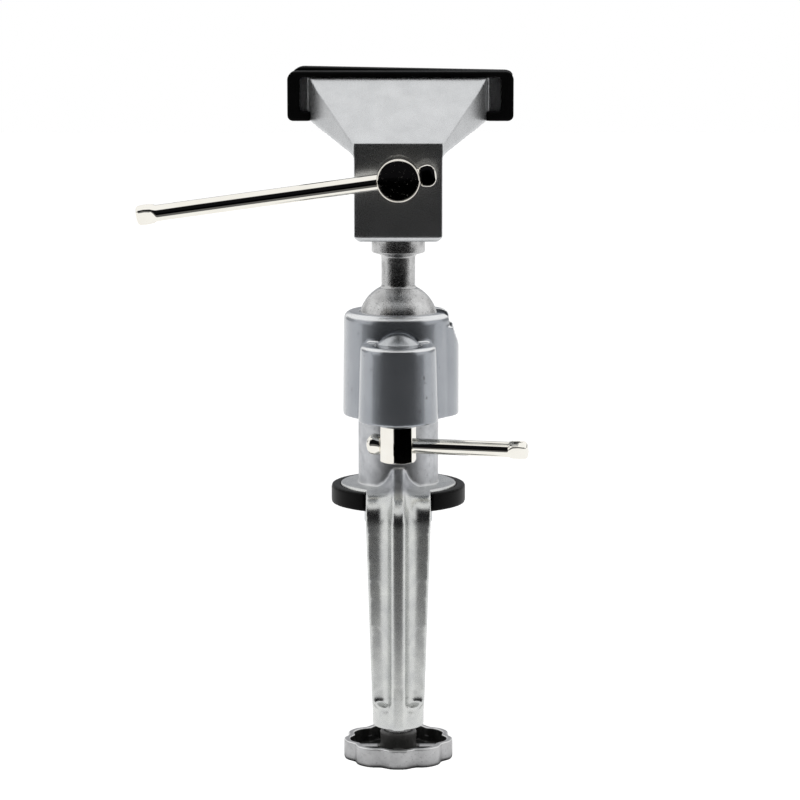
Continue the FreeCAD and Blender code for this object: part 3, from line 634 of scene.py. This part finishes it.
def head_profile():
    """Round head at the front of the lead screw, plain shank, then the thread."""
    profile = [(-65.98, 6.3), (-65.9, 6.65)]
    profile += [(-65.75, 6.95), (-65.45, 7.18), (-65.1, 7.28)]
    profile += [(-52.7, LEAD_HEAD_R), (-52.4, 7.1), (-52.3, 6.7)]
    profile += [(-52.3, LEAD_SHANK_R), (-20.4, LEAD_SHANK_R)]
    profile += [(-20.4, 3.2), (-19.2, 3.2), (-19.2, LEAD_SHANK_R)]
    profile += thread(-18.5, 47.6, LEAD_PITCH, LEAD_SHANK_R, 3.25)
    return profile + [(47.95, 3.0)]


def hex_profile():
    """Hexagon with cone-cut corners at its lower end, and the shank above."""
    corner = LOCK_HEX_FLATS / math.sqrt(3)
    end_r = 5.35

    def hexed(limit):
        def radius(a):
            past_flat = (a - math.radians(LOCK_BAR_TURN)) % (math.pi / 3)
            nearest = min(past_flat, math.pi / 3 - past_flat)
            return min(limit, LOCK_HEX_FLATS / 2 / math.cos(nearest))
        return radius

    profile = [(LOCK_HEX_BOTTOM, 4.9)]
    for i in range(9):
        t = i / 8
        limit = end_r + (corner - end_r + 0.02) * math.sin(t * math.pi / 2)
        profile.append((LOCK_HEX_BOTTOM + 0.85 * t, hexed(limit)))
    profile += [(LOCK_HEX_TOP - 0.2, hexed(corner)), (LOCK_HEX_TOP, hexed(corner - 0.15))]
    return profile + [(LOCK_HEX_TOP, LOCK_SHANK_R), (52.4, LOCK_SHANK_R)]


def clamp_profile():
    """Plain end in the wheel's hub, thread, and the spigot that the swivel pad turns on."""
    profile = [(-93.2, 4.9), (-74.0, 4.9)]
    profile += thread(-74.0, -8.2, CLAMP_PITCH, CLAMP_SCREW_R, 4.35)
    return profile + [(-8.0, 4.3), (-8.0, 3.0), (-2.8, 3.0)]


def rounded(points, top=FRONT_COVER_TOP, left_top=3.0):
    """Big soft corners of a rubber sleeve, seen from the front."""
    out = points.copy()
    corners = (
        (-1, COVER_LEFT, 1, top, left_top),
        (1, COVER_RIGHT, 1, top, 3.0),
        (-1, COVER_LEFT, -1, COVER_BOTTOM, 2.1),
        (1, COVER_RIGHT, -1, COVER_BOTTOM, 2.1),
    )
    for side, edge, up, level, r in corners:
        beside = side * (points[:, 0] - edge) + r
        beyond = up * (points[:, 2] - level) + r
        past = np.stack([beside, beyond], axis=1)
        reach = np.hypot(past[:, 0], past[:, 1])
        inside = (past.min(axis=1) > 0) & (reach > r)
        excess = past * np.where(inside, 1 - r / np.maximum(reach, r), 0.0)[:, None]
        out[:, 0] -= side * excess[:, 0]
        out[:, 2] -= up * excess[:, 1]
    return out


def skewed(points):
    """The rear sleeve sits askew: its top edge falls towards +X, and its -X corner is rounder."""
    out = rounded(points, top=REAR_COVER_TOP, left_top=6.0)
    above = np.clip(out[:, 2] - (REAR_COVER_TOP - 2.7), 0.0, None)
    along = eased(out[:, 0], COVER_LEFT, COVER_RIGHT - COVER_LEFT + 0.1)
    out[:, 2] -= 0.55 * above * along
    return out


def slim_beam(points):
    """The guide beam a hair thinner, so that it runs free in the tunnel of the rear jaw."""
    out = points.copy()
    beam = 0.017 * eased(points[:, 1], BEAM_START_Y, 0.6)
    out[:, 0] -= beam * points[:, 0]
    out[:, 2] -= beam * (points[:, 2] - BEAM_MID_Z)
    return out


add_piece(softened("clamp_frame", 0.42, 6, zone=frame_zone), "clamp_frame")
add_piece(softened("socket_housing", 0.45, 5), "socket_housing")
add_piece(softened("hand_wheel", 0.33, 4), "hand_wheel")
add_piece(softened("moving_jaw", 0.45, 3, slim_beam), "moving_jaw")
add_piece(softened("fixed_jaw", 0.45, 3), "fixed_jaw")
add_piece(softened("table_pad", 0.4, 4), "table_pad")
add_piece(softened("moving_jaw_cover", 0.4, 8, rounded), "moving_jaw_cover")
add_piece(softened("fixed_jaw_cover", 0.4, 8, skewed), "fixed_jaw_cover")

ball_stem = turned("ball_stem_turned", ball_profile(), 128)
lead_screw = turned("lead_screw_turned", head_profile(), 72, (0, 0, LEAD_Z), "y")
lock_screw = turned("lock_screw_turned", hex_profile(), 180, (0, LOCK_Y, 0))
clamp_screw = turned("clamp_screw_turned", clamp_profile(), 72)
add_piece(crisp(ball_stem, 40), "ball_stem")
add_piece(crisp(lead_screw, 40), "lead_screw")
add_piece(crisp(lock_screw, 25), "lock_screw")
add_piece(crisp(clamp_screw, 40), "clamp_screw")

lock_stations = t_bar_stations(
    radius=LOCK_BAR_R, head_half=5.73, end=46.3, far_roll=40, knob_roll=20, knob_half=3.2,
    squareness=2.4,
)
lock_centre = (0, LOCK_Y, LOCK_BAR_Z)
lock_bar = bar_mesh("lock_bar_forged", lock_stations, lock_centre, "Z", 180 + LOCK_BAR_TURN)
add_piece(lock_bar, "lock_bar")

lead_stations = t_bar_stations(
    radius=LEAD_BAR_R, head_half=LEAD_HEAD_R, end=88.6, far_roll=-30, knob_roll=0, knob_half=1.85,
    squareness=8.0,
)
lead_centre = (0, LEAD_BAR_Y, LEAD_Z)
lead_bar = bar_mesh("lead_bar_forged", lead_stations, lead_centre, "Y", -LEAD_BAR_TILT)
add_piece(lead_bar, "lead_screw_bar")


# ---------------------------------------------------------------- studio

WHEEL_FOOT_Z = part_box("hand_wheel")[0].z
SHEET_HALF = 4.0
SHEET_GAP = 0.00002
FLOOR_WHITE = 0.9
FLOOR_GLOW = 0.36
CAMERA_PITCH = math.radians(9.08)
CAMERA_FROM = Vector((0.0006, -1.0714, 0.2078))
CAMERA_LENS = 136.35


def make_camera():
    """Long lens from the front, looking a little down."""
    data = bpy.data.cameras.new("camera")
    data.lens = CAMERA_LENS
    data.sensor_width = 36.0
    data.clip_end = 50.0
    camera = bpy.data.objects.new("camera", data)
    camera.location = CAMERA_FROM
    camera.rotation_euler = (math.pi / 2 - CAMERA_PITCH, 0, 0)
    bpy.context.scene.collection.objects.link(camera)
    bpy.context.scene.camera = camera


def stage_sheet(name, z, white, glow):
    """Level sheet of the studio.

    glow is a strength, or a function that makes one in the sheet's shader.
    """
    signs = ((-1, -1), (1, -1), (1, 1), (-1, 1))
    corners = [(SHEET_HALF * a, SHEET_HALF * b, z) for a, b in signs]
    mesh = bpy.data.meshes.new(name)
    mesh.from_pydata(corners, [], [(0, 1, 2, 3)])
    sheet = bpy.data.objects.new(name, mesh)
    bpy.context.scene.collection.objects.link(sheet)
    s = Shader(name + "_paper")
    s.set(Base_Color=grey(white), Roughness=0.9)
    s.set(Emission_Color=(1.0, 1.0, 1.0), Emission_Strength=glow(s) if callable(glow) else glow)
    s.surface.inputs["Specular IOR Level"].default_value = 0.0
    mesh.materials.append(s.material)
    return sheet


def near_glow(s):
    """Bright near the vise, dimmer in front of it, dark far in front and right under the wheel."""
    y = s.split()[1]
    near = s.ramp(y, -0.20, -0.185, 0.13, 1.0)
    front = s.ramp(y, -0.52, -0.42, 0.0, 1.0)
    shade = s.ramp(s.radius(), 0.019, 0.026, 0.0, 1.0)
    return s.times(shade, near, front)


def make_floor():
    """White floor below the clamp screw's travel, and a sheet that only mirror-like parts see."""
    floor = stage_sheet("floor", WHEEL_FOOT_Z - CLAMP_TRAVEL * MM, FLOOR_WHITE, FLOOR_GLOW)
    floor.visible_glossy = False
    sheet = stage_sheet("near_sheet", WHEEL_FOOT_Z + SHEET_GAP, 0.0, near_glow)
    sheet.visible_camera = False
    sheet.visible_diffuse = False
    sheet.visible_shadow = False
    sheet.visible_transmission = False


def make_world():
    """White tent with a dark opening on the -Y side and greyer stretches at the sides and back.

    The tent lights the vise and is mirrored in it. Behind the vise the camera sees plain white.
    """
    world = bpy.data.worlds.new("tent")
    bpy.context.scene.world = world
    world.use_nodes = True
    tree = world.node_tree
    tree.nodes.clear()

    def node(kind):
        return tree.nodes.new(kind)

    def math_node(operation, a, b=0.0):
        n = node("ShaderNodeMath")
        n.operation = operation
        for socket, value in zip(n.inputs, (a, b)):
            if isinstance(value, (int, float)):
                socket.default_value = value
            else:
                tree.links.new(value, socket)
        return n.outputs["Value"]

    def soft_step(value, start, end):
        """0 before start and 1 after end, in degrees."""
        n = node("ShaderNodeMapRange")
        n.interpolation_type = "SMOOTHSTEP"
        n.inputs["From Min"].default_value = math.radians(start)
        n.inputs["From Max"].default_value = math.radians(end)
        tree.links.new(value, n.inputs["Value"])
        return n.outputs["Result"]

    direction = node("ShaderNodeTexCoord").outputs["Generated"]
    split = node("ShaderNodeSeparateXYZ")
    tree.links.new(direction, split.inputs["Vector"])
    x, y, z = split.outputs
    azimuth = math_node("ABSOLUTE", math_node("ARCTAN2", x, math_node("MULTIPLY", y, -1.0)))
    elevation = math_node("ARCSINE", z)

    def band(value, rise, fall):
        """1 between two soft edges, each given as (start, end) in degrees."""
        falling = math_node("SUBTRACT", 1.0, soft_step(value, *fall))
        return math_node("MULTIPLY", soft_step(value, *rise), falling)

    def patch(below, factor, colour):
        """Colour laid over the one below, as far as factor says."""
        mix = node("ShaderNodeMix")
        mix.data_type = "RGBA"
        tree.links.new(factor, mix.inputs["Factor"])
        if isinstance(below, tuple):
            mix.inputs[MIX_A].default_value = (*below, 1)
        else:
            tree.links.new(below, mix.inputs[MIX_A])
        mix.inputs[MIX_B].default_value = (*colour, 1)
        return mix.outputs[MIX_RESULT]

    def window(around, upright):
        """1 inside a stretch of the tent, given as two bands."""
        return math_node("MULTIPLY", band(azimuth, *around), band(elevation, *upright))

    opening = window(((-2, -1), (50, 64)), ((-62, -54), (42, 52)))
    flank = window(((104, 112), (142, 150)), ((-70, -60), (10, 20)))
    back = window(((150, 168), (190, 200)), ((-40, -20), (20, 40)))
    colour = patch((1.0, 1.0, 1.0), opening, (0.005, 0.005, 0.006))
    colour = patch(colour, flank, (0.38, 0.38, 0.38))
    colour = patch(colour, back, (0.42, 0.43, 0.45))
    tent = node("ShaderNodeBackground")
    tree.links.new(colour, tent.inputs["Color"])
    plain = node("ShaderNodeBackground")
    plain.inputs["Color"].default_value = (1.0, 1.0, 1.0, 1)
    rays = node("ShaderNodeLightPath")
    choose = node("ShaderNodeMixShader")
    tree.links.new(rays.outputs["Is Camera Ray"], choose.inputs["Fac"])
    tree.links.new(tent.outputs["Background"], choose.inputs[1])
    tree.links.new(plain.outputs["Background"], choose.inputs[2])
    output = node("ShaderNodeOutputWorld")
    tree.links.new(choose.outputs["Shader"], output.inputs["Surface"])


make_camera()
make_floor()
make_world()
bpy.context.scene.view_settings.view_transform = "Standard"
